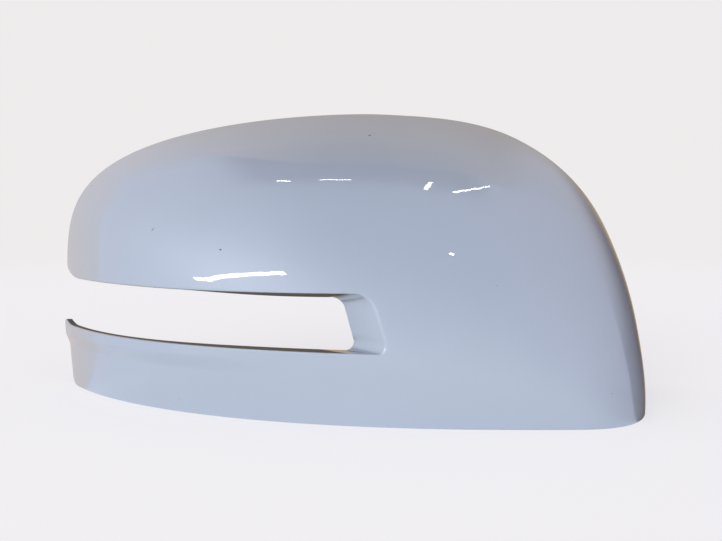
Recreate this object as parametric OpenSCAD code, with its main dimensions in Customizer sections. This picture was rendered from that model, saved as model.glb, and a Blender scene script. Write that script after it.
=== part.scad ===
// Painted cover of a right-hand wing mirror, moulded in one piece with a slot for the side lamp.
// +X points inboard to the car door, -Y is the way the car drives, and +Z is up.
// The origin is on the floor under the middle of the cover, which stands on its flat bottom edge.
// Inside the functions y runs back from the foremost point and x inboard from the outline's middle.

/* [Cover] */
// Depth from the foremost point of the face back to the rim
cover_depth = 75; // [68:1:84]
// Thickness of the moulded wall
wall = 2.5; // [2:0.1:3]

/* [Outline seen from the front] */
// From the middle of the outline to its outboard side
reach_outboard = 150.5; // [144:0.5:158]
// From the middle of the outline to its inboard side
reach_inboard = 117.5; // [110:0.5:125]
// From the widest level to the top of the outline
reach_up = 101; // [96:1:108]
// From the widest level down to where the sides would meet below the cover
reach_down = 286; // [240:2:340]
// Height of the widest level above the bottom edge
waist_height = 38; // [34:0.5:42]
// Outboard lean of the outline for each millimetre of height
lean = 0.02; // [0:0.01:0.05]
// Fullness of the upper outboard quarter across its width, 2 for an ellipse
outboard_across = 1.5; // [1.4:0.1:2]
// Fullness of the upper outboard quarter up its height
outboard_upward = 4.5; // [4:0.1:5]
// Fullness of the upper inboard quarter across its width
inboard_across = 3.1; // [2.6:0.1:3.6]
// Fullness of the upper inboard quarter up its height
inboard_upward = 2; // [1.8:0.1:2.4]
// Fullness of the sides below the widest level
low_fullness = 2; // [1.8:0.1:2.4]
// Radius of the lower outboard corner
foot_radius = 3; // [1:0.5:5]

/* [Bulge of the face] */
// From the middle of the outline inboard to the foremost point, which is on the bottom edge
crown_offset = 68; // [60:1:74]
// Depth at which the outboard side would stand square to the rim
bulge_outboard = 143; // [134:1:152]
// The same depth at the inboard side
bulge_inboard = 86; // [85:1:96]
// The same depth at the top
bulge_top = 175; // [160:1:190]
// Curve law from the foremost point outboard, 2 for an ellipse and more for a flatter face
curve_outboard = 2.28; // [2.1:0.02:2.5]
// Curve law from the foremost point inboard
curve_inboard = 3.6; // [3:0.1:4]
// Curve law from the foremost point upward
curve_top = 2.18; // [2.04:0.02:2.4]

/* [Lamp slot] */
// Height of the slot's upper edge at its inboard end
slot_top = 50; // [46:0.5:54]
// Height of the slot's upper edge at the mouth
mouth_top = 48.8; // [45:0.2:52]
// Height of the slot's lower edge
slot_bottom = 27.8; // [24:0.2:31]
// Inboard end of the slot at its upper edge, from the middle of the outline
slot_end_top = 3; // [-8:0.5:12]
// Inboard end of the slot at its lower edge, from the middle of the outline
slot_end_bottom = 10; // [-3:0.5:18]
// Radius of the upper inboard corner
slot_top_radius = 9; // [5:0.5:10]
// Radius of the lower inboard corner
slot_bottom_radius = 3.3; // [2:0.1:5]
// Rise of the upper edge's rounded corner at the mouth
mouth_rise = 4; // [2:0.5:6]
// Length of that corner
mouth_length = 7; // [4:0.5:12]
// Rise of the lower edge at the tip of the strip
tip_rise = 1.8; // [0:0.2:3]
// Length of that rise
tip_length = 5; // [3:0.5:8]
// Rounding of the edge between the face and the slot
edge_round = 1.2; // [0.6:0.1:1.6]

/* [Flange round the slot] */
// Depth of the flange at the slot's inboard end
flange_depth = 9; // [6:0.5:12]
// Thickness of the flange
flange_wall = 2.2; // [1.6:0.1:2.8]
// How far the upper flange comes down over its depth
flange_drop = 2.6; // [0:0.2:4]
// How far the flange comes outboard over its depth, at the upper inboard corner
flange_slide_top = 11; // [6:0.5:13]
// The same at the lower inboard corner
flange_slide_bottom = 12.5; // [6:0.5:14]
// Radius of the upper inboard corner at the back of the flange
back_top_radius = 5.5; // [3:0.5:7]
// Radius of the lower inboard corner at the back of the flange
back_bottom_radius = 3.3; // [2:0.1:5]
// Bead that stiffens the edge where the flange runs out
flange_bead = 0.8; // [0.5:0.1:1.5]
// Length over which the flange grows to its full depth
flange_run = 105; // [70:5:120]

/* [Lip under the slot] */
// How far the lip stands proud of the face at the outboard end
lip_proud = 2.6; // [1.5:0.1:3]
// Height of the flat band of the lip
lip_band = 3.5; // [2:0.1:5]
// Height over which the lip falls back to the face
lip_fall = 6.5; // [6:0.1:9]
// Where the lip has faded into the face, from the middle of the outline
lip_end = -22; // [-40:1:-10]
// How early the lip reaches its full height, 1 for only at the outboard side
lip_growth = 1.25; // [1:0.05:2]

/* [Snap hooks on the inside] */
// Number of hooks along the rim
hook_count = 4; // [2:1:6]
// Where the outboard hook stands, as an angle over the top of the rim
hook_first = 138; // [130:1:142]
// Where the inboard hook stands
hook_last = 48; // [44:1:56]
// Distance from the rim's outer edge to the middle of a hook
hook_inset = 10.5; // [9.5:0.5:13]
// Width of a hook
hook_width = 9; // [6:0.5:12]
// Thickness of a hook's tongue
hook_wall = 2; // [1.5:0.1:2.6]
// Distance from a hook's tip to the plane of the rim
hook_setback = 4; // [2:0.5:8]
// How far the barb stands out from the tongue
barb = 1.6; // [0.8:0.1:2.2]
// Length of the barb along the tongue
barb_length = 5; // [3:0.5:7]
// Length of the gusset behind a hook, toward the middle of the cover
gusset_reach = 12; // [8:0.5:16]
// Thickness of ribs and gussets
rib_wall = 1.5; // [1:0.1:2.2]

/* [Locating pegs on the inside] */
// Radius of a peg
peg_radius = 2.5; // [2:0.1:3]
// Length of a peg beyond its boss
peg_length = 12; // [8:0.5:16]
// Radius of the boss under a peg
boss_radius = 4; // [3.5:0.1:4.5]
// From the foremost point back to the end of the bosses
boss_back = 22; // [18:0.5:30]
// Inboard peg, from the middle of the outline
inboard_peg_across = 60; // [54:0.5:66]
// Inboard peg above the bottom edge
inboard_peg_up = 20; // [16:0.5:24]
// Middle peg, from the middle of the outline
middle_peg_across = 34; // [26:0.5:42]
// Middle peg above the bottom edge
middle_peg_up = 42; // [34:0.5:44]

/* [Ribs on the inside] */
// Height of the stiffening rib above the bottom edge
rib_height = 9; // [6:0.5:13]
// How far that rib stands off the inside of the wall
rib_depth = 4.5; // [3:0.5:7]
// Outboard end of that rib, from the middle of the outline
rib_from = -112; // [-118:1:-90]
// Inboard end of that rib
rib_to = 34; // [10:1:44]

/* [Hidden] */
tiny = 0.0001;
// Step for slopes, and number of halvings in each search
probe = 0.2;
halvings = 22;
far = reach_outboard + reach_inboard;
// Rows of the sheet from the slot to the outline, and lines of the sheet round the slot
rows = 18;
upper_lines = 28;
top_arc_lines = 6;
slant_lines = 4;
bottom_arc_lines = 6;
lower_lines = 36;
lines = upper_lines + top_arc_lines + slant_lines + bottom_arc_lines + lower_lines;
// The lines that end on the rim, where they start over it, and the point they fan out from
rim_lines = upper_lines + top_arc_lines + slant_lines - 1;
edge_lines = lines - rim_lines;
seam_angle = 152;
hub = [35, cover_depth, 0];
// How lines crowd towards the mouth, and rows towards the outline
crowding = 1.15;
crowd_outboard = 0.3;
crowd_inboard = 2;
crowd_top = 0.6;
// How the lines of the sheet bow between the slot and the outline
bow_steps = 24;
bow_hold = 6;
arching = 0.6;
// How near the rim and the bottom edge the wall turns square to them
flat_run = 6;
// Share of a quarter turn in the upper corner of the mouth
mouth_turn = 0.95;
rib_steps = 14;
gusset_steps = 4;
// How far behind the face a boss starts, and the facets round it
bite = 0.3;
peg_facets = 48;
peg_places = [[inboard_peg_across, inboard_peg_up], [middle_peg_across, middle_peg_up]];

function mix(a, b, t) = a + (b - a) * t;
function smooth(t) = let(c = max(0, min(1, t))) c * c * (3 - 2 * c);
function unit(v) = v / norm(v);

// Outline law: below 1 inside the full outline and above 1 outside it
function outline_law(x, z) =
    let(dz = z - waist_height, dx = x + lean * dz, outboard = dx < 0, upper = dz > 0)
    let(across = upper ? (outboard ? outboard_across : inboard_across) : low_fullness)
    let(upward = upper ? (outboard ? outboard_upward : inboard_upward) : low_fullness)
    pow(abs(dx) / (outboard ? reach_outboard : reach_inboard), across)
    + pow(abs(dz) / (upper ? reach_up : reach_down), upward);

// Share of the way from the foremost point to the full outline
function outline_share(x, z, low = tiny, high = 1, left = halvings) =
    let(middle = (low + high) / 2)
    left == 0 ? middle
    : outline_law(crown_offset + (x - crown_offset) / middle, z / middle) > 1
        ? outline_share(x, z, middle, high, left - 1)
        : outline_share(x, z, low, middle, left - 1);

// A value that turns smoothly from side to side around the foremost point
function by_side(x, z, outboard, inboard, top) =
    let(dx = x - crown_offset, sideways = dx * dx / (dx * dx + z * z + tiny))
    sideways * (dx < 0 ? outboard : inboard) + (1 - sideways) * top;

// How far the lip stands out at a place on the face
function lip(x, z) =
    let(below = slot_bottom - z, along = (lip_end - x) / (reach_outboard + lip_end))
    z > (slot_bottom + slot_top) / 2 ? 0
    : lip_proud * (1 - smooth((below - lip_band) / lip_fall)) * smooth(lip_growth * along);

// Depth of the outer face behind the foremost point
function face_y(x, z) =
    let(curve = by_side(x, z, curve_outboard, curve_inboard, curve_top))
    let(bulge = by_side(x, z, bulge_outboard, bulge_inboard, bulge_top))
    bulge * (1 - pow(1 - pow(outline_share(x, z), curve), 1 / curve)) - lip(x, z);

// The place where a straight line from a start inside the cover leaves the outer face
function leave(start, way, low = 0, high = far, left = halvings) =
    let(middle = (low + high) / 2, place = start + way * middle)
    left == 0 ? place
    : face_y(place.x, place.z) < place.y
        ? leave(start, way, middle, high, left - 1)
        : leave(start, way, low, middle, left - 1);

// A place on the outboard part of the rim at a given height
function outboard_rim(z) = leave([0, cover_depth, z], [-1, 0, 0]);

// Outward direction of the wall, level at the bottom edge and square to the drive at the rim
function outward(p) =
    let(dx = (face_y(p.x + probe, p.z) - face_y(p.x - probe, p.z)) / (2 * probe))
    let(dz = (face_y(p.x, p.z + probe) - face_y(p.x, p.z - probe)) / (2 * probe))
    unit([dx, -smooth((cover_depth - p.y) / flat_run), dz * smooth(p.z / flat_run)]);

// The rim over the top, then the bottom edge from the inboard corner to the outboard one
foot = outboard_rim(0) + [foot_radius, 0, 0];
outline_points = [
    for (i = [0:rim_lines]) let(a = seam_angle * (1 - i / rim_lines)) leave(hub, [cos(a), 0, sin(a)]),
    for (i = [1:edge_lines - 1]) let(a = 180 * i / edge_lines) leave(hub, [cos(a), -sin(a), 0]),
    [foot.x, face_y(foot.x, 0), 0]
];

// Places on an arc that joins two straight edges, given the corner and the edges' directions
function corner_arc(corner, from_way, to_way, radius, steps) =
    let(turn = acos(from_way * to_way), reach = radius * tan(turn / 2))
    let(side = cross(from_way, to_way) > 0 ? 1 : -1)
    let(start = corner - from_way * reach, centre = start + radius * side * [-from_way.y, from_way.x])
    [for (i = [0:steps]) let(a = side * turn * i / steps, r = start - centre)
        centre + [r.x * cos(a) - r.y * sin(a), r.x * sin(a) + r.y * cos(a)]];

// The slot seen from the front, from the upper mouth round the inboard end to the lower mouth
upper_mouth = outboard_rim(mouth_top + mouth_rise);
lower_mouth = outboard_rim(slot_bottom + tip_rise);
function mouth_curve(t) = (1 - sqrt(1 - mouth_turn * t * t)) / (1 - sqrt(1 - mouth_turn));
function upper_edge(x, end, drop) =
    let(along = (x - upper_mouth.x) / (end - upper_mouth.x))
    let(corner = max(0, 1 - (x - upper_mouth.x) / mouth_length))
    mix(mouth_top, slot_top, along) + mouth_rise * mouth_curve(corner) - drop * smooth(along);
function lower_edge(x) = slot_bottom + tip_rise * pow(max(0, 1 - (x - lower_mouth.x) / tip_length), 2);
function slot_contour(drop, slide_top, slide_bottom, top_radius, bottom_radius) =
    let(top = [slot_end_top - slide_top, slot_top - drop])
    let(bottom = [slot_end_bottom - slide_bottom, slot_bottom], slant = unit(bottom - top))
    let(upper = corner_arc(top, [1, 0], slant, top_radius, top_arc_lines))
    let(lower = corner_arc(bottom, slant, [-1, 0], bottom_radius, bottom_arc_lines))
    [
        for (i = [0:upper_lines - 1])
            let(x = mix(upper_mouth.x, upper[0].x, pow(i / upper_lines, crowding)))
            [x, upper_edge(x, upper[0].x, drop)],
        for (p = upper) p,
        for (i = [1:slant_lines - 1]) mix(upper[top_arc_lines], lower[0], i / slant_lines),
        for (p = lower) p,
        for (i = [lower_lines - 1:-1:0])
            let(x = mix(lower_mouth.x, lower[bottom_arc_lines].x, pow(i / lower_lines, crowding)))
            [x, lower_edge(x)]
    ];
slot_edge = slot_contour(0, 0, 0, slot_top_radius, slot_bottom_radius);
slot_back = slot_contour(
    flange_drop, flange_slide_top, flange_slide_bottom, back_top_radius, back_bottom_radius);

// Direction away from the slot, square to its edge
function away(i) =
    i <= upper_lines ? [0, 1]
    : i >= lines - lower_lines ? [0, -1]
    : let(t = unit(slot_edge[i + 1] - slot_edge[i - 1])) [-t.y, t.x];

// The two ends of the sheet, up the rim from the slot and down the rim to the foot
function upper_side(t) = let(p = outboard_rim(mix(upper_mouth.z, outline_points[0].z, t))) [p.x, p.z];
function lower_side(t) =
    let(z = lower_mouth.z * (1 - t), e = max(0, 1 - z / foot_radius))
    let(p = outboard_rim(z)) [p.x + foot_radius * (1 - sqrt(1 - e * e)), z];

// How far each end of the sheet bows outboard of a straight line
upper_bow = [for (k = [0:bow_steps]) let(t = k / bow_steps)
    [t, upper_side(t).x - mix(upper_mouth.x, outline_points[0].x, t)]];
lower_bow = [for (k = [0:bow_steps]) let(t = k / bow_steps)
    [t, lower_side(t).x - mix(lower_mouth.x, outline_points[lines].x, t)]];

// A place on the sheet seen from the front: line i along the slot, share t from the slot to the outline
function sheet(i, t) =
    let(o = outline_points[i], u = i / lines)
    let(bow = pow(1 - u, bow_hold) * lookup(t, upper_bow) + pow(u, bow_hold) * lookup(t, lower_bow))
    let(arch = arching * max(0, o.x - slot_end_bottom) * (1 - smooth(o.z / waist_height / 2)) * t * (1 - t))
    i == 0 ? upper_side(t) : i == lines ? lower_side(t) : mix(slot_edge[i], [o.x, o.z], t) + [bow, arch];

function on_face(p, i) =
    let(at_rim = i == 0 || (i == lines && p.y > foot_radius - tiny))
    [p.x, at_rim ? cover_depth : face_y(p.x, p.y), p.y];

// Rows crowd towards the rim where the wall turns back
function crowded(i, t) =
    let(o = outline_points[i], turn = by_side(o.x, o.z, crowd_outboard, crowd_inboard, crowd_top))
    1 - pow(1 - t, 1 + turn * o.y / cover_depth);

function outer_point(i, t) = t == 1 ? outline_points[i] : on_face(sheet(i, t), i);
function inner_point(i, t) = let(p = outer_point(i, t)) p - wall * outward(p);

// One line of the moulding: out over the face, back inside, then round the flange and the slot's edge
function section(i) =
    let(edge = on_face(slot_edge[i], i), out = away(i), o = outline_points[i])
    let(span = norm([o.x, o.z] - slot_edge[i]))
    let(growth = smooth((edge.x - upper_mouth.x - mouth_length) / flange_run))
    let(slide = slot_back[i] - slot_edge[i])
    let(straight = [slide.x, flange_depth, slide.y], bead = -(wall + flange_bead) * outward(edge))
    let(back = edge + mix(bead, straight, growth))
    let(steep = -slide * out / flange_depth * growth, spread = sqrt(1 + steep * steep))
    let(root = (flange_wall * spread - wall * steep) / span, lip_start = edge_round / span)
    let(down = edge + edge_round * unit(back - edge), face = outer_point(i, lip_start))
    [
        for (r = [0:rows]) r == 0 ? face : outer_point(i, mix(lip_start, 1, crowded(i, r / rows))),
        for (r = [rows:-1:0]) inner_point(i, r == rows ? 1 : mix(root, 1, crowded(i, r / rows))),
        back + flange_wall * spread * [out.x, 0, out.y],
        back,
        down,
        (down + 2 * edge + face) / 4
    ];

sections = [for (i = [0:lines]) section(i)];
cap_points = [for (s = sections) each s];
low_x = min([for (p = cap_points) p.x]);
high_x = max([for (p = cap_points) p.x]);

// A closed skin over a row of profiles, whose first and last profile the cap's triangles close
module loft(profiles, cap) {
    count = len(profiles) - 1;
    size = len(profiles[0]);
    sides = [for (i = [0:count - 1], j = [0:size - 1]) let(k = (j + 1) % size, a = i * size, b = a + size)
        each [[a + j, a + k, b + j], [a + k, b + k, b + j]]];
    last = [for (f = cap) [for (v = [0, 2, 1]) count * size + f[v]]];
    polyhedron([for (p = profiles) each p], concat(sides, cap, last), convexity = 10);
}

module shell() {
    inner = 2 * rows + 1;
    strip = [for (r = [0:rows - 1]) each [[r, inner - r, r + 1], [r + 1, inner - r, inner - r - 1]]];
    fan = [for (j = [inner:len(sections[0]) - 2]) [0, j + 1, j]];
    loft(sections, concat(strip, fan));
}

// Depth of the middle of the wall at a place seen from the front
function wall_y(p) =
    let(dx = (face_y(p.x + probe, p.y) - face_y(p.x - probe, p.y)) / (2 * probe))
    let(dz = (face_y(p.x, p.y + probe) - face_y(p.x, p.y - probe)) / (2 * probe))
    face_y(p.x, p.y) + wall / 2 * sqrt(1 + dx * dx + dz * dz);

// Section of a rib between two places, from the middle of the wall back to a given depth
function rib_profile(p, q, back) = [
    [p.x, wall_y(p), p.y],
    [q.x, wall_y(q), q.y],
    [q.x, back, q.y],
    [p.x, back, p.y]
];
rib_cap = [[0, 3, 1], [1, 3, 2]];

// A place on the rim at an angle over the top
function rim_place(angle) = leave(hub, [cos(angle), 0, sin(angle)]);

// A tongue that grows out of the wall near the rim, with a barb that faces the rim and a gusset behind it
module hook(angle) {
    rim = rim_place(angle);
    run = rim_place(angle + 1) - rim_place(angle - 1);
    across = unit([run.x, run.z]);
    way = [across.y, -across.x];
    middle = [rim.x, rim.z] - hook_inset * way;
    back = middle - gusset_reach * way;
    tip = cover_depth - hook_setback;
    tongue = [for (side = [-hook_width / 2, hook_width / 2])
        let(p = middle - hook_wall / 2 * way + side * across)
        let(q = p + hook_wall * way, end = q + barb * way)
        [
            [p.x, wall_y(p), p.y],
            [p.x, tip, p.y],
            [q.x, tip, q.y],
            [end.x, tip - barb_length / 2, end.y],
            [q.x, tip - barb_length, q.y],
            [q.x, wall_y(q), q.y]
        ]];
    loft(tongue, [[0, 2, 1], [2, 4, 3], [0, 4, 2], [0, 5, 4]]);
    side = rib_wall / 2 * across;
    low = wall_y(back) + wall;
    gusset = [for (i = [0:gusset_steps]) let(t = i / gusset_steps, p = mix(back, middle, t))
        rib_profile(p - side, p + side, mix(low, tip - barb_length, t))];
    loft(gusset, rib_cap);
}

// A round peg on a boss, for a hole in the mirror's housing
module peg(place) {
    around = [for (a = [0:45:315]) place + boss_radius * [cos(a), sin(a)]];
    root = bite + max([for (p = around) face_y(p.x, p.y)]);
    translate([place.x, root, place.y])
        rotate([-90, 0, 0]) {
            cylinder(h = boss_back - root, r = boss_radius, $fn = peg_facets);
            cylinder(h = boss_back - root + peg_length, r = peg_radius, $fn = peg_facets);
        }
}

// A low rib that follows the wall along the bottom of the cover
module strip_rib() {
    half = [0, rib_wall / 2];
    places = [for (i = [0:rib_steps]) [mix(rib_from, rib_to, i / rib_steps), rib_height]];
    loft([for (p = places) rib_profile(p - half, p + half, wall_y(p) + wall / 2 + rib_depth)], rib_cap);
}

module mirror_cap() {
    color("lightsteelblue")
        translate([-(low_x + high_x) / 2, -cover_depth / 2, 0]) {
            shell();
            for (i = [0:hook_count - 1]) hook(mix(hook_first, hook_last, i / (hook_count - 1)));
            for (place = peg_places) peg(place);
            strip_rib();
        }
}

mirror_cap();
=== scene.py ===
import math

import bmesh
import bpy
import numpy as np
from mathutils import Matrix, Vector
from mathutils.kdtree import KDTree

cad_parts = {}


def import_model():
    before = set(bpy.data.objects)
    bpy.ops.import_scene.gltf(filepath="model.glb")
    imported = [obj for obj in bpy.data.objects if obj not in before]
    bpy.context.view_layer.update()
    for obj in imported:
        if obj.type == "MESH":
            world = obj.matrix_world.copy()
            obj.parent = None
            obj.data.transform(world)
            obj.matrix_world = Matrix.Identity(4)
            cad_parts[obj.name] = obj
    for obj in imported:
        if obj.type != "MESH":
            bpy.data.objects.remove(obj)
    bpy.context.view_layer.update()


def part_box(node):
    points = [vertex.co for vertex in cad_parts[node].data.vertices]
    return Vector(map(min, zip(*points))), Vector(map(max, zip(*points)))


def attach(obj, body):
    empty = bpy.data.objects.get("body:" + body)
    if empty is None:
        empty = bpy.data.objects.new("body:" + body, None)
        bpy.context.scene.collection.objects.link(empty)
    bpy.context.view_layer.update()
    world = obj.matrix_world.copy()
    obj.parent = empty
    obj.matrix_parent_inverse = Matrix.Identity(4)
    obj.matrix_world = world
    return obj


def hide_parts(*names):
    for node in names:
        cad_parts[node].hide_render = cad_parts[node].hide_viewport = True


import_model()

# A painted cover of a right-hand wing mirror, moulded in one piece with a slot for the side lamp.
# The sizes are in millimetres, as the solid has them, and seat() turns them into the frame's metres.
# Until then x runs inboard, y runs back from the foremost point and z runs up from the bottom edge.
MM = 0.001

# Cover
COVER_DEPTH = 75
WALL = 2.5

# Outline seen from the front: reaches from its centre at the waist, its lean and the powers of its curves
REACH_OUTBOARD = 150.5
REACH_INBOARD = 117.5
REACH_UP = 101
REACH_DOWN = 286
WAIST_HEIGHT = 38
LEAN = 0.02
OUTBOARD_ACROSS = 1.5
OUTBOARD_UPWARD = 4.5
INBOARD_ACROSS = 3.1
INBOARD_UPWARD = 2
LOW_FULLNESS = 2
FOOT_RADIUS = 3

# Bulge of the face: where it is foremost, how far it falls back to each side and the powers of its curves
CROWN_OFFSET = 68
BULGE_OUTBOARD = 143
BULGE_INBOARD = 86
BULGE_TOP = 175
CURVE_OUTBOARD = 2.28
CURVE_INBOARD = 3.6
CURVE_TOP = 2.18

# Lamp slot
SLOT_TOP = 50
MOUTH_TOP = 48.8
SLOT_BOTTOM = 27.8
SLOT_END_TOP = 3
SLOT_END_BOTTOM = 10
SLOT_TOP_RADIUS = 9
SLOT_BOTTOM_RADIUS = 3.3
MOUTH_RISE = 4
MOUTH_LENGTH = 7
MOUTH_TURN = 0.95
TIP_RISE = 1.8
TIP_LENGTH = 5
EDGE_ROUND = 1.2

# Flange round the slot
FLANGE_DEPTH = 9
FLANGE_WALL = 2.2
FLANGE_DROP = 2.6
FLANGE_SLIDE_TOP = 11
FLANGE_SLIDE_BOTTOM = 12.5
BACK_TOP_RADIUS = 5.5
BACK_BOTTOM_RADIUS = 3.3
FLANGE_BEAD = 0.8
FLANGE_RUN = 105

# Lip under the slot
LIP_PROUD = 2.6
LIP_BAND = 3.5
LIP_FALL = 6.5
LIP_END = -22
LIP_GROWTH = 1.25

# Snap hooks, pegs and the rib on the inside
HOOK_COUNT = 4
HOOK_FIRST = 138
HOOK_LAST = 48
HOOK_INSET = 10.5
HOOK_WIDTH = 9
HOOK_WALL = 2
HOOK_SETBACK = 4
BARB = 1.6
BARB_LENGTH = 5
GUSSET_REACH = 12
RIB_WALL = 1.5
PEG_RADIUS = 2.5
PEG_LENGTH = 12
BOSS_RADIUS = 4
BOSS_BACK = 22
PEG_PLACES = ((60, 20), (34, 42))
RIB_HEIGHT = 9
RIB_DEPTH = 4.5
RIB_FROM = -112
RIB_TO = 34

# How fine the mesh is, next to the solid's lines
FINER = 3
UPPER_LINES = 28 * FINER
TOP_ARC_LINES = 6 * FINER
SLANT_LINES = 4 * FINER
BOTTOM_ARC_LINES = 6 * FINER
LOWER_LINES = 36 * FINER
LINES = UPPER_LINES + TOP_ARC_LINES + SLANT_LINES + BOTTOM_ARC_LINES + LOWER_LINES
RIM_LINES = UPPER_LINES + TOP_ARC_LINES + SLANT_LINES - FINER
EDGE_LINES = LINES - RIM_LINES
OUTER_ROWS = 72
INNER_ROWS = 48
EDGE_STEPS = 8
GUSSET_STEPS = 12
RIB_STEPS = 60
PEG_FACETS = 48

# Small rounds that only the mesh has, and where its shading stays sharp
CORNER_ROUND = 0.35
CORNER_STEPS = 3
PEG_CHAMFER = 0.4
HOOK_ROUND = 0.25
HOOK_ROUND_STEPS = 2
ROUND_FROM_ANGLE = 40
SHARP_FROM_ANGLE = 35

# How deep a boss bites into the wall, and how near to each other places are welded
BITE = 0.3
WELD = 0.01

# Where the paint reaches: overspray behind the rim, the slot's end wall and the rounds of its edge, whose
# flange side stays dark as painted shade; the slot's long walls stay dark, partly bare plastic and partly
# painted shade
OVERSPRAY = 14
PAINTED_END = -5
PAINTED_FADE = 2.5
# Share of each round of the slot's edge, upper and lower, that stays dark from the flange side: painted shade
SHADE_ON_UPPER_ROUND = 0.4
SHADE_ON_LOWER_ROUND = 0.2
PAINT_REACH = 1.5

# How the mesh's lines run from the slot to the outline
SEAM_ANGLE = 152
HUB = np.array([35, COVER_DEPTH, 0.0])
CROWDING = 1.15
BOW_HOLD = 6
ARCHING = 0.6
FOOT_SPACING = 0.3

# The length over which the wall's direction turns level at the bottom, and into the rim's plane at the rim
FLAT_RUN = 6

# How finely places are searched and lengths are measured
TINY = 0.0001
PROBE = 0.1
HALVINGS = 40
FAR = REACH_OUTBOARD + REACH_INBOARD
BOW_STEPS = 400
BOSS_PROBES = 8
DENSE_ROWS = 4
DENSE_CROWDING = 3

# Colours, as linear light
PAINT_DARK = (0.400, 0.446, 0.528)
PAINT_LIGHT = (0.412, 0.459, 0.542)
FLAKE = (0.62, 0.66, 0.72)
SPECK = (0.10, 0.10, 0.11)
# Bare plastic, dark: its own colour inside the cover, and painted shade as well on the slot's long walls and
# edge rounds
BARE_AND_SHADE_DARK = (0.060, 0.064, 0.070)
BARE_AND_SHADE_LIGHT = (0.072, 0.076, 0.083)
BACKGROUND = (0.855, 0.838, 0.838)
FLOOR_DARK = (0.80, 0.785, 0.785)
FLOOR_LIGHT = (0.82, 0.805, 0.805)
FLOOR_SEEN = (1.0, 0.99, 0.99)
FLOOR_PALE = (0.94, 0.93, 0.95)
FRONT_OUTBOARD = (1.31, 1.47, 1.75)
FRONT_MIDDLE = (2.31, 2.49, 2.50)
FRONT_INBOARD = (0.76, 0.74, 0.98)
FRONT_HIGH = (0.48, 0.55, 0.67)
FRONT_HIGH_OUTBOARD = (0.78, 0.83, 0.94)
FRONT_HIGH_INBOARD = (0.70, 0.71, 0.81)
OVERHEAD = (0.0, 0.0, 0.0)
BACK_OUTBOARD = (0.90, 0.75, 0.64)
BACK_MIDDLE = (0.52, 0.38, 0.22)
BACK_HIGH = (0.24, 0.17, 0.10)
BACK_HIGH_INBOARD = (0.67, 0.65, 0.70)
BACK_INBOARD = (0.06, 0.03, 0.01)

# Paint and bare plastic
PAINT_METAL = 0.3
PAINT_ROUGHNESS = 0.45
BARE_ROUGHNESS = 0.55
COAT_ROUGHNESS = 0.02
COAT_IOR = 1.8
PAINT_EDGE = (0.42, 0.58)
SPECKLING = 0.8
FLAKE_SHARE = 0.12
# Noises: scale per metre, detail and, for the speckled edge of the paint, roughness
SPECKLE_NOISE = (2500, 3, 0.7)
FLAKE_NOISE = (9000, 1)
CLOUD_NOISE = (22, 2)
SPECK_NOISE = (420, 0)
BARE_NOISE = (60, 3)
PEEL_NOISE = (260, 1)
GRAIN_NOISE = (5000, 2)
FLOOR_NOISE = (3, 2)
# The values of a noise between which a colour fades in
FLAKE_FADE = (0.35, 0.65)
SPECK_FADE = (0.90, 0.905)
SOFT_FADE = (0.3, 0.7)
# Bumps: strength and distance in metres
PEEL_BUMP = (0.05, 0.0002)
GRAIN_BUMP = (0.15, 0.00005)

# The floor: its reach, and distances from the middle between which its looks fade, in metres
FLOOR_REACH = 6.0
FLOOR_CLOSE = 0.1
FLOOR_NEAR = 0.25
FLOOR_FAR = 0.8
FLOOR_ROUGHNESS = 0.9
# Shares of the plain background that the camera sees and of the room that gloss sees, near the cover
FLOOR_GLOW = 0.65
FLOOR_SHEEN = 0.85
# The line on the floor that the cover stands over: half its width in metres, and its slant
FOOT_ACROSS = 0.113
FOOT_SLANT = -0.235

# Where the lights of the room fade into each other, along one part of a direction
FRONT_MIDDLE_FROM = (-0.9, -0.1)
FRONT_INBOARD_FROM = (0.0, 0.8)
HIGH_INBOARD_FROM = (-0.1, 0.6)
HIGH_OUTBOARD_TO = (-0.5, -0.1)
HIGH_FROM = (-1.35, 0.7)
OVERHEAD_BACK_FROM = (-0.15, 0.02)
OVERHEAD_UP_FROM = (0.8, 0.9)
OVERHEAD_FROM = (-0.4, -0.25)
OVERHEAD_TO = (0.22, 0.38)
BACK_MIDDLE_FROM = (-0.6, 0.0)
BACK_HIGH_FROM = (0.9, 1.0)
BACK_INBOARD_FROM = (0.33, 0.6)
BACK_INBOARD_HIGH_FROM = (0.1, 0.5)

# The edge between the room's front and back half: how far back it runs, and how it turns
EDGE_BACK = (0.11, 0.15)
EDGE_RISE = 0.37
EDGE_RISE_FROM = (0.38, 0.74)
EDGE_FALL = 0.35
EDGE_FALL_FROM = (0.68, 1.0)
EDGE_BOW = 0.17
EDGE_BOW_FROM = (-0.9, -0.65)
EDGE_BOW_TO = (-0.4, -0.12)

# Narrow lamps stand at one distance from a point in the cover, both in metres
LAMP_DISTANCE = 1.5
LAMP_CENTRE = Vector((0, 0, 0.05))
# Soft lamps, which gloss doesn't show: azimuth and elevation, strength, and spread in degrees
SOFT_LAMPS = (
    (-45, 20, 0.60, 40),
    (-20, 20, 0.63, 40),
)
# Narrow lamps, which only gloss shows: from and to as azimuth and elevation, thickness in degrees, radiance
STRIP_LAMPS = (
    ((-51, 10.4), (-27, 31), 1.7, 14),
    ((-55, 8.5), (-49, 11.5), 1.6, 12),
    ((-81, 75.3), (-76, 77.3), 0.45, 14),
    ((-71, 81.8), (-50, 85.8), 0.4, 14),
    ((62, 80), (88, 80.5), 0.5, 14),
    ((69, 77), (103, 68), 0.4, 14),
    ((15.2, 50.8), (16.2, 51.8), 1.1, 16),
)

# The camera, fitted to the outline in the photograph
SENSOR_WIDTH = 36.0
PHOTO_WIDTH = 722
FOCAL_PIXELS = 945.5
CAMERA_AT = Vector((7.2, -380.9, 98.7)) * MM
CAMERA_AIM = Vector((7.2, -37.5, 59.9)) * MM
CLIP_START = 0.01


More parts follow.
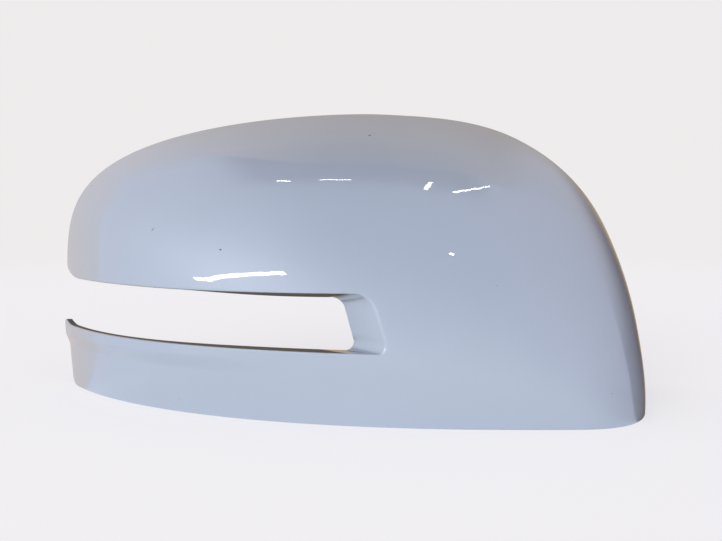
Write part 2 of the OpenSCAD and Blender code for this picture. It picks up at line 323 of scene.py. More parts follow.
def mix(a, b, t):
    return a + (b - a) * t


def smooth(t):
    c = np.clip(t, 0, 1)
    return c * c * (3 - 2 * c)


def unit(v):
    return v / np.linalg.norm(v, axis=-1, keepdims=True)


def place(x, y, z):
    return np.stack(np.broadcast_arrays(x, y, z), -1).astype(float)


# The face

def outline_law(x, z):
    """Below 1 inside the full outline and above 1 outside it."""
    dz = z - WAIST_HEIGHT
    dx = x + LEAN * dz
    outboard, upper = dx < 0, dz > 0
    across = np.where(upper, np.where(outboard, OUTBOARD_ACROSS, INBOARD_ACROSS), LOW_FULLNESS)
    upward = np.where(upper, np.where(outboard, OUTBOARD_UPWARD, INBOARD_UPWARD), LOW_FULLNESS)
    width = np.where(outboard, REACH_OUTBOARD, REACH_INBOARD)
    height = np.where(upper, REACH_UP, REACH_DOWN)
    return np.abs(dx / width) ** across + np.abs(dz / height) ** upward


def outline_share(x, z):
    """Share of the way from the foremost point to the full outline."""
    low, high = np.full(np.shape(x), TINY), np.ones(np.shape(x))
    for _ in range(HALVINGS):
        middle = (low + high) / 2
        outside = outline_law(CROWN_OFFSET + (x - CROWN_OFFSET) / middle, z / middle) > 1
        low, high = np.where(outside, middle, low), np.where(outside, high, middle)
    return (low + high) / 2


def by_side(x, z, outboard, inboard, top):
    """A value that turns smoothly from side to side around the foremost point."""
    dx = x - CROWN_OFFSET
    sideways = dx * dx / (dx * dx + z * z + TINY)
    return sideways * np.where(dx < 0, outboard, inboard) + (1 - sideways) * top


def lip(x, z):
    """How far the lip stands out at a place on the face."""
    below = SLOT_BOTTOM - z
    along = (LIP_END - x) / (REACH_OUTBOARD + LIP_END)
    proud = LIP_PROUD * (1 - smooth((below - LIP_BAND) / LIP_FALL)) * smooth(LIP_GROWTH * along)
    return np.where(z > (SLOT_BOTTOM + SLOT_TOP) / 2, 0, proud)


def face_y(x, z):
    """Depth of the outer face behind the foremost point."""
    x, z = np.asarray(x, float), np.asarray(z, float)
    curve = by_side(x, z, CURVE_OUTBOARD, CURVE_INBOARD, CURVE_TOP)
    bulge = by_side(x, z, BULGE_OUTBOARD, BULGE_INBOARD, BULGE_TOP)
    return bulge * (1 - (1 - outline_share(x, z) ** curve) ** (1 / curve)) - lip(x, z)


def leave(start, way):
    """The place where a straight line from a start inside the cover leaves the outer face."""
    start, way = np.broadcast_arrays(np.asarray(start, float), np.asarray(way, float))
    low, high = np.zeros(start.shape[:-1]), np.full(start.shape[:-1], float(FAR))
    for _ in range(HALVINGS):
        middle = (low + high) / 2
        p = start + way * middle[..., None]
        inside = face_y(p[..., 0], p[..., 2]) < p[..., 1]
        low, high = np.where(inside, middle, low), np.where(inside, high, middle)
    return start + way * ((low + high) / 2)[..., None]


def outboard_rim(z):
    """A place on the outboard part of the rim at a given height."""
    z = np.asarray(z, float)
    return leave(place(0, COVER_DEPTH, z), np.array([-1.0, 0, 0]))


def slopes(x, z):
    return ((face_y(x + PROBE, z) - face_y(x - PROBE, z)) / (2 * PROBE),
            (face_y(x, z + PROBE) - face_y(x, z - PROBE)) / (2 * PROBE))


def outward(p):
    """Outward direction of the wall, level at the bottom edge and in the rim's plane at the rim."""
    dx, dz = slopes(p[..., 0], p[..., 2])
    forward = -smooth((COVER_DEPTH - p[..., 1]) / FLAT_RUN)
    return unit(place(dx, forward, dz * smooth(p[..., 2] / FLAT_RUN)))


# The outline and the slot seen from the front

rim_angles = np.radians(SEAM_ANGLE * (1 - np.arange(RIM_LINES + 1) / RIM_LINES))
edge_angles = np.radians(180 * np.arange(1, EDGE_LINES) / EDGE_LINES)
foot_x = outboard_rim(0)[0] + FOOT_RADIUS
outline_points = np.concatenate([
    leave(HUB, place(np.cos(rim_angles), 0, np.sin(rim_angles))),
    leave(HUB, place(np.cos(edge_angles), -np.sin(edge_angles), 0)),
    [[foot_x, float(face_y(foot_x, 0)), 0]],
])


def keep_clear_of_foot():
    """Draws the last places on the bottom edge in from the rim's rounded foot."""
    nearest = foot_x + FOOT_SPACING * (LINES - np.arange(LINES + 1))
    late = (outline_points[:, 0] < nearest) & (np.arange(LINES + 1) > RIM_LINES)
    outline_points[late, 0] = nearest[late]
    outline_points[late, 1] = face_y(nearest[late], 0 * nearest[late])


keep_clear_of_foot()
upper_mouth = outboard_rim(MOUTH_TOP + MOUTH_RISE)
lower_mouth = outboard_rim(SLOT_BOTTOM + TIP_RISE)


def corner_arc(corner, from_way, to_way, radius, steps):
    """Places on an arc that joins two straight edges, given the corner and the edges' directions."""
    turn = math.acos(from_way @ to_way)
    side = 1 if from_way[0] * to_way[1] - from_way[1] * to_way[0] > 0 else -1
    start = corner - from_way * radius * math.tan(turn / 2)
    centre = start + radius * side * np.array([-from_way[1], from_way[0]])
    a = side * turn * np.arange(steps + 1) / steps
    r = start - centre
    return centre + np.stack([r[0] * np.cos(a) - r[1] * np.sin(a), r[0] * np.sin(a) + r[1] * np.cos(a)], -1)


def mouth_curve(t):
    return (1 - np.sqrt(1 - MOUTH_TURN * t * t)) / (1 - math.sqrt(1 - MOUTH_TURN))


def upper_edge(x, end, drop):
    along = (x - upper_mouth[0]) / (end - upper_mouth[0])
    corner = np.maximum(0, 1 - (x - upper_mouth[0]) / MOUTH_LENGTH)
    return mix(MOUTH_TOP, SLOT_TOP, along) + MOUTH_RISE * mouth_curve(corner) - drop * smooth(along)


def lower_edge(x):
    return SLOT_BOTTOM + TIP_RISE * np.maximum(0, 1 - (x - lower_mouth[0]) / TIP_LENGTH) ** 2


def slot_contour(drop, slide_top, slide_bottom, top_radius, bottom_radius):
    """From the upper mouth round the inboard end to the lower mouth."""
    top = np.array([SLOT_END_TOP - slide_top, SLOT_TOP - drop])
    bottom = np.array([SLOT_END_BOTTOM - slide_bottom, SLOT_BOTTOM])
    slant = unit(bottom - top)
    upper = corner_arc(top, np.array([1.0, 0]), slant, top_radius, TOP_ARC_LINES)
    lower = corner_arc(bottom, slant, np.array([-1.0, 0]), bottom_radius, BOTTOM_ARC_LINES)
    x_up = mix(upper_mouth[0], upper[0, 0], (np.arange(UPPER_LINES) / UPPER_LINES) ** CROWDING)
    x_low = mix(lower_mouth[0], lower[-1, 0], (np.arange(LOWER_LINES)[::-1] / LOWER_LINES) ** CROWDING)
    shares = (np.arange(1, SLANT_LINES) / SLANT_LINES)[:, None]
    return np.concatenate([
        np.stack([x_up, upper_edge(x_up, upper[0, 0], drop)], -1), upper,
        mix(upper[-1], lower[0], shares), lower,
        np.stack([x_low, lower_edge(x_low)], -1)])


slot_edge = slot_contour(0, 0, 0, SLOT_TOP_RADIUS, SLOT_BOTTOM_RADIUS)
slot_back = slot_contour(
    FLANGE_DROP, FLANGE_SLIDE_TOP, FLANGE_SLIDE_BOTTOM, BACK_TOP_RADIUS, BACK_BOTTOM_RADIUS)


def away_from_slot():
    """Direction away from the slot, square to its edge, for each line."""
    run = unit(np.gradient(slot_edge, axis=0))
    out = np.stack([-run[:, 1], run[:, 0]], -1)
    out[:UPPER_LINES + 1] = [0, 1]
    out[LINES - LOWER_LINES:] = [0, -1]
    return out


away = away_from_slot()


def upper_side(t):
    """The outboard end of the sheet above the slot, up the rim."""
    p = outboard_rim(mix(upper_mouth[2], outline_points[0, 2], t))
    return p[..., [0, 2]]


def lower_side(t):
    """The outboard end of the sheet under the slot, down the rim to the foot."""
    z = lower_mouth[2] * (1 - t)
    e = np.maximum(0, 1 - z / FOOT_RADIUS)
    x = outboard_rim(z)[..., 0] + FOOT_RADIUS * (1 - np.sqrt(1 - e * e))
    return np.stack([x, z], -1)


bow_shares = np.linspace(0, 1, BOW_STEPS + 1)
upper_bow = upper_side(bow_shares)[:, 0] - mix(upper_mouth[0], outline_points[0, 0], bow_shares)
lower_bow = lower_side(bow_shares)[:, 0] - mix(lower_mouth[0], outline_points[-1, 0], bow_shares)


def sheet(t):
    """Places on the sheet seen from the front: a row of shares from the slot to the outline for each line."""
    o = outline_points
    u = (np.arange(LINES + 1) / LINES)[:, None]
    bow = (1 - u) ** BOW_HOLD * np.interp(t, bow_shares, upper_bow)
    bow = bow + u ** BOW_HOLD * np.interp(t, bow_shares, lower_bow)
    low = 1 - smooth(o[:, 2:3] / WAIST_HEIGHT / 2)
    arch = ARCHING * np.maximum(0, o[:, 0:1] - SLOT_END_BOTTOM) * low * t * t * (1 - t)
    x = mix(slot_edge[:, 0:1], o[:, 0:1], t) + bow
    z = mix(slot_edge[:, 1:2], o[:, 2:3], t) + arch
    x[0], z[0] = upper_side(t[0]).T
    x[-1], z[-1] = lower_side(t[-1]).T
    return x, z


def outer_points(t):
    """The outer face, a row of shares for each line. The first and last line run along the rim."""
    x, z = sheet(t)
    y = face_y(x, z)
    y[0] = COVER_DEPTH
    y[-1] = np.where(z[-1] > FOOT_RADIUS - TINY, COVER_DEPTH, y[-1])
    p = place(x, y, z)
    return np.where(t[..., None] >= 1, outline_points[:, None, :], p)


# Lines of the moulding

def even_shares(start, end, count):
    """Shares that cut each line into even lengths, between two distances from its ends."""
    dense = 1 - (1 - np.linspace(0, 1, DENSE_ROWS * count)) ** DENSE_CROWDING
    p = outer_points(np.tile(dense, (LINES + 1, 1)))
    lengths = np.linalg.norm(np.diff(p, axis=1), axis=2)
    run = np.concatenate([np.zeros((LINES + 1, 1)), np.cumsum(lengths, axis=1)], 1)
    shares = np.empty((LINES + 1, count + 1))
    for i in range(LINES + 1):
        wanted = np.linspace(start[i], run[i, -1] - end[i], count + 1)
        shares[i] = np.interp(wanted, run[i], dense)
    return shares


def rounded(before, corner, after, radius, steps):
    """A small round in place of a corner, one row of places for each line."""
    a = corner + radius * unit(before - corner)
    b = corner + radius * unit(after - corner)
    return [mix(mix(a, corner, k / steps), mix(corner, b, k / steps), k / steps) for k in range(steps + 1)]


def moulding_lines():
    """Each line of the moulding: out over the face, back inside, and round the flange and the slot's edge."""
    edge = outer_points(np.zeros((LINES + 1, 1)))[:, 0]
    slide = slot_back - slot_edge
    growth = smooth((edge[:, 0] - upper_mouth[0] - MOUTH_LENGTH) / FLANGE_RUN)[:, None]
    straight = place(slide[:, 0], FLANGE_DEPTH, slide[:, 1])
    back = edge + mix(-(WALL + FLANGE_BEAD) * outward(edge), straight, growth)
    steep = -np.sum(slide * away, axis=1) / FLANGE_DEPTH * growth[:, 0]
    spread = np.sqrt(1 + steep * steep)
    thick_back = back + (FLANGE_WALL * spread)[:, None] * place(away[:, 0], 0, away[:, 1])

    edge_run = np.full(LINES + 1, EDGE_ROUND)
    rim_run = np.full(LINES + 1, CORNER_ROUND)
    outer_t = even_shares(edge_run, rim_run, OUTER_ROWS)
    root_run = np.maximum(FLANGE_WALL * spread - WALL * steep, CORNER_ROUND)
    inner_t = even_shares(root_run, rim_run, INNER_ROWS)
    outer = outer_points(outer_t)
    inner_base = outer_points(inner_t)
    inner = inner_base - WALL * outward(inner_base)

    rim = outline_points
    inner_rim = rim - WALL * outward(rim)
    down = edge + EDGE_ROUND * unit(back - edge)
    rows = [outer[:, k] for k in range(OUTER_ROWS + 1)]
    rows += rounded(outer[:, -1], rim, inner_rim, CORNER_ROUND, CORNER_STEPS)[1:]
    rows += rounded(rim, inner_rim, inner[:, -1], CORNER_ROUND, CORNER_STEPS)
    rows += [inner[:, k] for k in range(INNER_ROWS - 1, -1, -1)]
    rows += rounded(inner[:, 0], thick_back, back, CORNER_ROUND, CORNER_STEPS)
    rows += rounded(thick_back, back, down, CORNER_ROUND, CORNER_STEPS)
    rows += rounded(back, edge, outer[:, 0], EDGE_ROUND, EDGE_STEPS)[:-1]
    sections = np.stack(rows, 1)
    sections[..., 1] = np.minimum(sections[..., 1], COVER_DEPTH)
    return sections


def paint_and_shade_shares(sections):
    """How well the paint covers each place: full outside, overspray inside, none on the slot's long walls and
    on the flange side of its edge's rounds, whose dark is partly bare plastic and partly painted shade.
    """
    shares = np.zeros(sections.shape[:2])
    outer_end = OUTER_ROWS + 1 + CORNER_STEPS
    inner_start = outer_end + CORNER_STEPS + 1
    inner_end = inner_start + INNER_ROWS
    shares[:, :inner_start] = 1
    run = np.linalg.norm(np.diff(sections[:, inner_start - 1:inner_end], axis=1), axis=2)
    shares[:, inner_start:inner_end] = np.clip(1 - np.cumsum(run, axis=1) / OVERSPRAY, 0, 1)
    edge = slot_edge[:, 0]
    end_wall = smooth((edge - PAINTED_END) / PAINTED_FADE + 0.5)
    shares[:, inner_end:] = end_wall[:, None]
    # The flange side of each edge round stays dark: painted shade
    round_shade = np.where(np.arange(LINES + 1) < UPPER_LINES + TOP_ARC_LINES, SHADE_ON_UPPER_ROUND, SHADE_ON_LOWER_ROUND)
    across = np.arange(EDGE_STEPS) / EDGE_STEPS
    on_round = smooth((across[None, :] - round_shade[:, None]) * EDGE_STEPS / 2 + 0.5)
    shares[:, -EDGE_STEPS:] = np.maximum(on_round, end_wall[:, None])
    return shares


def shell_mesh(sections):
    size = sections.shape[1]
    bm = bmesh.new()
    rings = [[bm.verts.new(p) for p in section] for section in sections]
    for a, b in zip(rings, rings[1:]):
        for j in range(size):
            k = (j + 1) % size
            bm.faces.new((b[j], b[k], a[k], a[j]))
    bm.faces.new(rings[0])
    bm.faces.new(rings[-1][::-1])
    bmesh.ops.recalc_face_normals(bm, faces=bm.faces)
    mesh = bpy.data.meshes.new("mirror_cap_shell")
    bm.to_mesh(mesh)
    bm.free()
    return mesh


def new_object(name, data):
    result = bpy.data.objects.new(name, data)
    bpy.context.scene.collection.objects.link(result)
    return result


# The inner features

def solid(name, profiles, cap):
    """A closed mesh over a row of profiles, whose ends the cap's polygons close."""
    profiles = np.asarray(profiles, float)
    count, size = profiles.shape[:2]
    faces = []
    for i in range(count - 1):
        for j in range(size):
            k = (j + 1) % size
            faces.append((i * size + j, i * size + k, (i + 1) * size + k, (i + 1) * size + j))
    faces += [tuple(f) for f in cap]
    faces += [tuple((count - 1) * size + v for v in reversed(f)) for f in cap]
    return closed_object(name, profiles.reshape(-1, 3), faces)


def closed_object(name, points, faces):
    mesh = bpy.data.meshes.new(name)
    mesh.from_pydata([tuple(p) for p in points], [], faces)
    bm = bmesh.new()
    bm.from_mesh(mesh)
    bmesh.ops.recalc_face_normals(bm, faces=bm.faces)
    bm.to_mesh(mesh)
    bm.free()
    return new_object(name, mesh)


def soften(piece):
    """Small rounds on the sharp edges of an inner feature."""
    bevel = piece.modifiers.new("rounds", "BEVEL")
    bevel.width = HOOK_ROUND
    bevel.segments = HOOK_ROUND_STEPS
    bevel.limit_method = "ANGLE"
    bevel.angle_limit = math.radians(ROUND_FROM_ANGLE)
    apply_modifiers(piece)
    return piece


def apply_modifiers(piece):
    bpy.context.view_layer.update()
    evaluated = piece.evaluated_get(bpy.context.evaluated_depsgraph_get())
    mesh = bpy.data.meshes.new_from_object(evaluated)
    mesh.materials.clear()
    piece.modifiers.clear()
    piece.data = mesh


def wall_y(x, z):
    """Depth of the middle of the wall at a place seen from the front."""
    dx, dz = slopes(x, z)
    return face_y(x, z) + WALL / 2 * np.sqrt(1 + dx * dx + dz * dz)


def rib_profile(p, q, back):
    return [(p[0], wall_y(*p), p[1]), (q[0], wall_y(*q), q[1]), (q[0], back, q[1]), (p[0], back, p[1])]


def rim_place(angle):
    a = math.radians(angle)
    return leave(HUB, place(math.cos(a), 0, math.sin(a)))


def hook(angle):
    rim = rim_place(angle)
    run = rim_place(angle + 1) - rim_place(angle - 1)
    across = unit(run[[0, 2]])
    way = np.array([across[1], -across[0]])
    middle = rim[[0, 2]] - HOOK_INSET * way
    back = middle - GUSSET_REACH * way
    tip = COVER_DEPTH - HOOK_SETBACK
    tongue = []
    for side in (-HOOK_WIDTH / 2, HOOK_WIDTH / 2):
        p = middle - HOOK_WALL / 2 * way + side * across
        q = p + HOOK_WALL * way
        end = q + BARB * way
        tongue.append([
            (p[0], wall_y(*p), p[1]), (p[0], tip, p[1]), (q[0], tip, q[1]),
            (end[0], tip - BARB_LENGTH / 2, end[1]), (q[0], tip - BARB_LENGTH, q[1]),
            (q[0], wall_y(*q), q[1])])
    side = RIB_WALL / 2 * across
    low, high = wall_y(*back) + WALL, tip - BARB_LENGTH
    gusset = []
    for t in np.linspace(0, 1, GUSSET_STEPS + 1):
        p = mix(back, middle, t)
        gusset.append(rib_profile(p - side, p + side, mix(low, high, t)))
    return [soften(solid("hook", tongue, [(5, 4, 3, 2, 1, 0)])),
            soften(solid("gusset", gusset, [(3, 2, 1, 0)]))]


def peg(spot):
    """A round peg on a boss, turned from one profile."""
    a = np.radians(np.arange(BOSS_PROBES) * 360 / BOSS_PROBES)
    root = BITE + float(face_y(spot[0] + BOSS_RADIUS * np.cos(a), spot[1] + BOSS_RADIUS * np.sin(a)).max())
    tip = BOSS_BACK + PEG_LENGTH
    profile = [(BOSS_RADIUS, root), (BOSS_RADIUS, BOSS_BACK - PEG_CHAMFER),
               (BOSS_RADIUS - PEG_CHAMFER, BOSS_BACK), (PEG_RADIUS, BOSS_BACK),
               (PEG_RADIUS, tip - PEG_CHAMFER), (PEG_RADIUS - PEG_CHAMFER, tip)]
    turns = np.radians(np.arange(PEG_FACETS) * 360 / PEG_FACETS)
    points = [(spot[0] + r * math.cos(t), y, spot[1] + r * math.sin(t)) for r, y in profile for t in turns]
    faces = []
    for k in range(len(profile) - 1):
        low, high = k * PEG_FACETS, (k + 1) * PEG_FACETS
        for j in range(PEG_FACETS):
            n = (j + 1) % PEG_FACETS
            faces.append((low + j, low + n, high + n, high + j))
    faces.append(tuple(range(PEG_FACETS)))
    faces.append(tuple(range(len(points) - PEG_FACETS, len(points))))
    return closed_object("peg", points, faces)


def strip_rib():
    half = np.array([0, RIB_WALL / 2])
    profiles = []
    for x in np.linspace(RIB_FROM, RIB_TO, RIB_STEPS + 1):
        p = np.array([x, RIB_HEIGHT])
        profiles.append(rib_profile(p - half, p + half, wall_y(*p) + WALL / 2 + RIB_DEPTH))
    return soften(solid("strip_rib", profiles, [(3, 2, 1, 0)]))


def join_to(shell, features):
    """Fuses the inner features with the shell, so that no face lies inside the wall."""
    for feature in features:
        union = shell.modifiers.new("fuse", "BOOLEAN")
        union.operation = "UNION"
        union.solver = "MANIFOLD"
        union.object = feature
    apply_modifiers(shell)
    for feature in features:
        bpy.data.objects.remove(feature)
    bm = bmesh.new()
    bm.from_mesh(shell.data)
    bmesh.ops.remove_doubles(bm, verts=bm.verts, dist=WELD)
    bmesh.ops.dissolve_degenerate(bm, edges=bm.edges, dist=WELD)
    bm.to_mesh(shell.data)
    bm.free()


def moulding():
    """The whole cover as one closed mesh, with its paint."""
    sections = moulding_lines()
    cover = new_object("mirror_cap_painted", shell_mesh(sections))
    features = [strip_rib()]
    for angle in np.linspace(HOOK_FIRST, HOOK_LAST, HOOK_COUNT):
        features += hook(angle)
    features += [peg(spot) for spot in PEG_PLACES]
    join_to(cover, features)
    spread_paint(cover, sections)
    return cover


def read_points(mesh):
    co = np.empty(len(mesh.vertices) * 3)
    mesh.vertices.foreach_get("co", co)
    return co.reshape(-1, 3)


def seat(cover):
    """Moves the mesh to its place in the frame of the solid, in metres."""
    low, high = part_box("mirror_cap")
    co = read_points(cover.data)
    middle = (co[:, 0].min() + co[:, 0].max()) / 2
    shift = np.array([(low.x + high.x) / 2 / MM - middle,
                      (low.y + high.y) / 2 / MM - COVER_DEPTH / 2,
                      low.z / MM])
    cover.data.vertices.foreach_set("co", ((co + shift) * MM).ravel())
    cover.data.update()


def spread_paint(cover, sections):
    """Gives each vertex the paint share of the shell at its place, with the painted shade on the slot's long
    walls and edge rounds, and none on the inner features.
    """
    spots, shares = sections.reshape(-1, 3), paint_and_shade_shares(sections).ravel()
    tree = KDTree(len(spots))
    for number, spot in enumerate(spots):
        tree.insert(spot, number)
    tree.balance()
    cover_shares = []
    for vertex in cover.data.vertices:
        _, number, distance = tree.find(vertex.co)
        cover_shares.append(shares[number] if distance < PAINT_REACH else 0)
    attribute = cover.data.attributes.new("paint_and_shade_mask", "FLOAT", "POINT")
    attribute.data.foreach_set("value", cover_shares)


# Materials

def wire(tree, source, target):
    tree.links.new(source, target)


def add(tree, kind, **settings):
    node = tree.nodes.new(kind)
    for name, value in settings.items():
        setattr(node, name, value)
    return node


def math_node(tree, operation, a, b):
    node = add(tree, "ShaderNodeMath", operation=operation)
    for socket, value in zip(node.inputs, (a, b)):
        if isinstance(value, (int, float)):
            socket.default_value = value
        else:
            wire(tree, value, socket)
    return node.outputs[0]


def product(tree, first, *others):
    for other in others:
        first = math_node(tree, "MULTIPLY", first, other)
    return first


def vector_node(tree, operation, *values):
    node = add(tree, "ShaderNodeVectorMath", operation=operation)
    for socket, value in zip(node.inputs, values):
        wire(tree, value, socket)
    return node


def fade(tree, value, low, high, to_low=0.0, to_high=1.0):
    node = add(tree, "ShaderNodeMapRange", interpolation_type="SMOOTHSTEP")
    wire(tree, value, node.inputs["Value"])
    for name, number in (("From Min", low), ("From Max", high), ("To Min", to_low), ("To Max", to_high)):
        node.inputs[name].default_value = number
    return node.outputs[0]


def blend_colours(tree, factor, a, b):
    node = add(tree, "ShaderNodeMix", data_type="RGBA")
    wire(tree, factor, node.inputs["Factor"])
    for socket, value in ((node.inputs["A"], a), (node.inputs["B"], b)):
        if isinstance(value, tuple):
            socket.default_value = (*value, 1)
        else:
            wire(tree, value, socket)
    return node.outputs["Result"]


def mix_shaders(tree, factor, a, b):
    node = add(tree, "ShaderNodeMixShader")
    for socket, source in zip(node.inputs, (factor, a, b)):
        wire(tree, source, socket)
    return node.outputs["Shader"]


def emission(tree, colour):
    node = add(tree, "ShaderNodeEmission")
    wire(tree, colour, node.inputs["Color"])
    return node.outputs["Emission"]


def noise(tree, scale, detail, roughness=0.5):
    """Noise by place on the object, in the frame's own metres."""
    coordinates = add(tree, "ShaderNodeTexCoord")
    node = add(tree, "ShaderNodeTexNoise")
    wire(tree, coordinates.outputs["Object"], node.inputs["Vector"])
    node.inputs["Scale"].default_value = scale
    node.inputs["Detail"].default_value = detail
    node.inputs["Roughness"].default_value = roughness
    return node.outputs["Fac"]


def bump(tree, height, strength, distance):
    node = add(tree, "ShaderNodeBump")
    wire(tree, height, node.inputs["Height"])
    node.inputs["Strength"].default_value = strength
    node.inputs["Distance"].default_value = distance
    return node.outputs["Normal"]


def new_material(name):
    material = bpy.data.materials.new(name)
    material.use_nodes = True
    tree = material.node_tree
    return material, tree, tree.nodes["Principled BSDF"]


def paint_material():
    """Gloss paint where the cover has it, dark plastic elsewhere, which on the slot's long walls and the
    flange side of its edge's rounds is painted shade as well, and a speckled edge between them.
    """
    material, tree, shader = new_material("gloss_paint")
    share = add(tree, "ShaderNodeAttribute", attribute_name="paint_and_shade_mask").outputs["Fac"]
    speckle = math_node(tree, "SUBTRACT", noise(tree, *SPECKLE_NOISE), 0.5)
    speckled = math_node(tree, "ADD", share, math_node(tree, "MULTIPLY", speckle, SPECKLING))
    painted = fade(tree, speckled, *PAINT_EDGE)
    cloud = fade(tree, noise(tree, *CLOUD_NOISE), *SOFT_FADE)
    flake = fade(tree, noise(tree, *FLAKE_NOISE), *FLAKE_FADE)
    speck = fade(tree, noise(tree, *SPECK_NOISE), *SPECK_FADE)
    mottle = fade(tree, noise(tree, *BARE_NOISE), *SOFT_FADE)
    tone = blend_colours(tree, cloud, PAINT_DARK, PAINT_LIGHT)
    tone = blend_colours(tree, math_node(tree, "MULTIPLY", flake, FLAKE_SHARE), tone, FLAKE)
    tone = blend_colours(tree, speck, tone, SPECK)
    # Dark bare plastic, which on the slot's long walls and edge rounds stands for painted shade too
    plastic_and_shade = blend_colours(tree, mottle, BARE_AND_SHADE_DARK, BARE_AND_SHADE_LIGHT)
    wire(tree, blend_colours(tree, painted, plastic_and_shade, tone), shader.inputs["Base Color"])
    wire(tree, fade(tree, painted, 0, 1, BARE_ROUGHNESS, PAINT_ROUGHNESS), shader.inputs["Roughness"])
    wire(tree, math_node(tree, "MULTIPLY", painted, PAINT_METAL), shader.inputs["Metallic"])
    wire(tree, painted, shader.inputs["Coat Weight"])
    shader.inputs["Coat Roughness"].default_value = COAT_ROUGHNESS
    shader.inputs["Coat IOR"].default_value = COAT_IOR
    wire(tree, bump(tree, noise(tree, *GRAIN_NOISE), *GRAIN_BUMP), shader.inputs["Normal"])
    wire(tree, bump(tree, noise(tree, *PEEL_NOISE), *PEEL_BUMP), shader.inputs["Coat Normal"])
    return material


# Studio

def room_colour(tree, way):
    """Light of the room by direction: a cool bright half in front of the cover, a warm dim one behind it."""
    parts = add(tree, "ShaderNodeSeparateXYZ")
    wire(tree, way, parts.inputs[0])
    x, y, z = parts.outputs
    front = blend_colours(tree, fade(tree, x, *FRONT_MIDDLE_FROM), FRONT_OUTBOARD, FRONT_MIDDLE)
    front = blend_colours(tree, fade(tree, x, *FRONT_INBOARD_FROM), front, FRONT_INBOARD)
    high = blend_colours(tree, fade(tree, x, *HIGH_INBOARD_FROM), FRONT_HIGH, FRONT_HIGH_INBOARD)
    high = blend_colours(tree, fade(tree, x, *HIGH_OUTBOARD_TO, 1, 0), high, FRONT_HIGH_OUTBOARD)
    front = blend_colours(tree, fade(tree, z, *HIGH_FROM), front, high)
    overhead = product(
        tree, fade(tree, y, *OVERHEAD_BACK_FROM), fade(tree, z, *OVERHEAD_UP_FROM),
        fade(tree, x, *OVERHEAD_FROM), fade(tree, x, *OVERHEAD_TO, 1, 0))
    front = blend_colours(tree, overhead, front, OVERHEAD)
    back = blend_colours(tree, fade(tree, x, *BACK_MIDDLE_FROM), BACK_OUTBOARD, BACK_MIDDLE)
    back = blend_colours(tree, fade(tree, z, *BACK_HIGH_FROM), back, BACK_HIGH)
    inboard = blend_colours(tree, fade(tree, z, *BACK_INBOARD_HIGH_FROM), BACK_INBOARD, BACK_HIGH_INBOARD)
    back = blend_colours(tree, fade(tree, x, *BACK_INBOARD_FROM), back, inboard)
    rise = fade(tree, x, *EDGE_RISE_FROM, 0, EDGE_RISE)
    fall = fade(tree, x, *EDGE_FALL_FROM, 0, EDGE_FALL)
    bow = product(tree, fade(tree, x, *EDGE_BOW_FROM, 0, EDGE_BOW), fade(tree, x, *EDGE_BOW_TO, 1, 0))
    behind = math_node(tree, "SUBTRACT", math_node(tree, "ADD", y, fall), rise)
    behind = math_node(tree, "SUBTRACT", behind, bow)
    return blend_colours(tree, fade(tree, behind, *EDGE_BACK), front, back)


def away_from_cover(tree, spot):
    """Direction on the floor from the nearest place on the line that the cover stands over."""
    parts = add(tree, "ShaderNodeSeparateXYZ")
    wire(tree, spot, parts.inputs[0])
    across = math_node(tree, "MINIMUM", parts.outputs["X"], FOOT_ACROSS)
    across = math_node(tree, "MAXIMUM", across, -FOOT_ACROSS)
    foot = add(tree, "ShaderNodeCombineXYZ")
    wire(tree, across, foot.inputs["X"])
    wire(tree, math_node(tree, "MULTIPLY", across, FOOT_SLANT), foot.inputs["Y"])
    apart = vector_node(tree, "SUBTRACT", spot, foot.outputs["Vector"]).outputs["Vector"]
    return vector_node(tree, "NORMALIZE", apart).outputs["Vector"]


def floor_material():
    """A pale floor: the camera sees the plain background with part of the shadow, and gloss sees the room."""
    material, tree, shader = new_material("pale_floor")
    shader.inputs["Roughness"].default_value = FLOOR_ROUGHNESS
    shader.inputs["Specular IOR Level"].default_value = 0
    path = add(tree, "ShaderNodeLightPath")
    by_camera, by_gloss = path.outputs["Is Camera Ray"], path.outputs["Is Glossy Ray"]
    plain = blend_colours(tree, fade(tree, noise(tree, *FLOOR_NOISE), *SOFT_FADE), FLOOR_DARK, FLOOR_LIGHT)
    wire(tree, blend_colours(tree, by_camera, plain, FLOOR_SEEN), shader.inputs["Base Color"])
    spot = add(tree, "ShaderNodeTexCoord").outputs["Object"]
    distance = vector_node(tree, "LENGTH", spot).outputs["Value"]
    pale = blend_colours(tree, fade(tree, distance, FLOOR_NEAR, FLOOR_FAR), FLOOR_PALE, BACKGROUND)
    glow = product(tree, fade(tree, distance, FLOOR_NEAR, FLOOR_FAR, FLOOR_GLOW, 1), by_camera)
    seen = mix_shaders(tree, glow, shader.outputs["BSDF"], emission(tree, pale))
    sheen = product(tree, fade(tree, distance, FLOOR_CLOSE, FLOOR_NEAR, FLOOR_SHEEN, 1), by_gloss)
    room = emission(tree, room_colour(tree, away_from_cover(tree, spot)))
    wire(tree, mix_shaders(tree, sheen, seen, room), tree.nodes["Material Output"].inputs["Surface"])
    return material


def floor():
    mesh = bpy.data.meshes.new("floor")
    s = FLOOR_REACH
    mesh.from_pydata([(-s, -s, 0), (s, -s, 0), (s, s, 0), (-s, s, 0)], [], [(0, 1, 2, 3)])
    plane = new_object("floor", mesh)
    mesh.materials.append(floor_material())


def world():
    """The room lights the cover, and the camera sees the plain background."""
    room = bpy.data.worlds.new("studio")
    bpy.context.scene.world = room
    room.use_nodes = True
    tree = room.node_tree
    light = tree.nodes["Background"]
    wire(tree, room_colour(tree, add(tree, "ShaderNodeTexCoord").outputs["Generated"]), light.inputs["Color"])
    backdrop = add(tree, "ShaderNodeBackground")
    backdrop.inputs["Color"].default_value = (*BACKGROUND, 1)
    by_camera = add(tree, "ShaderNodeLightPath").outputs["Is Camera Ray"]
    both = mix_shaders(tree, by_camera, light.outputs["Background"], backdrop.outputs["Background"])
    wire(tree, both, tree.nodes["World Output"].inputs["Surface"])


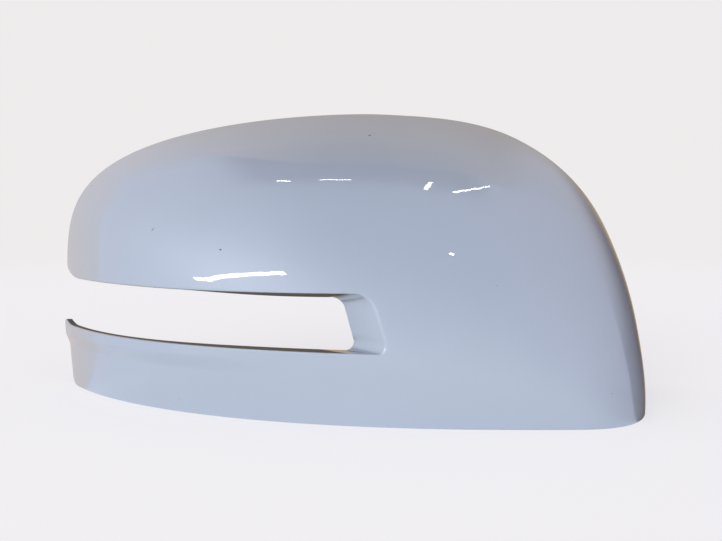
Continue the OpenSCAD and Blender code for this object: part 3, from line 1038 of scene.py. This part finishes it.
def way_to(azimuth, elevation):
    """A direction from the cover: azimuth 0 looks along -Y to the camera and grows towards +X."""
    a, e = math.radians(azimuth), math.radians(elevation)
    return Vector((math.sin(a) * math.cos(e), -math.cos(a) * math.cos(e), math.sin(e)))


def strip_lamp(name, start, end, thickness, radiance):
    """A narrow lamp between two directions, each an azimuth and an elevation in degrees."""
    a = way_to(*start) * LAMP_DISTANCE + LAMP_CENTRE
    b = way_to(*end) * LAMP_DISTANCE + LAMP_CENTRE
    middle = (a + b) / 2
    data = bpy.data.lights.new(name, "AREA")
    data.shape = "RECTANGLE"
    data.size = (b - a).length
    data.size_y = math.radians(thickness) * LAMP_DISTANCE
    data.energy = radiance * math.pi * data.size * data.size_y
    lamp = new_object(name, data)
    back = (middle - LAMP_CENTRE).normalized()
    along = (b - a).normalized()
    side = back.cross(along).normalized()
    turn = Matrix((along, side, along.cross(side))).transposed()
    lamp.matrix_world = Matrix.Translation(middle) @ turn.to_4x4()
    lamp.visible_camera = False
    lamp.visible_diffuse = False


def soft_lamp(name, azimuth, elevation, strength, spread):
    data = bpy.data.lights.new(name, "SUN")
    data.energy = strength
    data.angle = math.radians(spread)
    lamp = new_object(name, data)
    lamp.rotation_euler = (-way_to(azimuth, elevation)).to_track_quat("-Z", "Y").to_euler()
    lamp.visible_glossy = False


def camera():
    data = bpy.data.cameras.new("camera")
    data.sensor_width = SENSOR_WIDTH
    data.lens = FOCAL_PIXELS / PHOTO_WIDTH * SENSOR_WIDTH
    data.clip_start = CLIP_START
    eye = new_object("camera", data)
    eye.location = CAMERA_AT
    eye.rotation_euler = (CAMERA_AIM - CAMERA_AT).to_track_quat("-Z", "Y").to_euler()
    bpy.context.scene.camera = eye


# The cover, its materials and the studio

cover = moulding()
seat(cover)
for polygon in cover.data.polygons:
    polygon.use_smooth = True
cover.data.set_sharp_from_angle(angle=math.radians(SHARP_FROM_ANGLE))
cover.data.materials.append(paint_material())
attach(cover, "root")
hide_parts("mirror_cap")

bpy.context.scene.view_settings.view_transform = "Standard"
floor()
world()
for number, lamp in enumerate(SOFT_LAMPS):
    soft_lamp("soft_lamp_%d" % (number + 1), *lamp)
for number, lamp in enumerate(STRIP_LAMPS):
    strip_lamp("strip_lamp_%d" % (number + 1), *lamp)
camera()
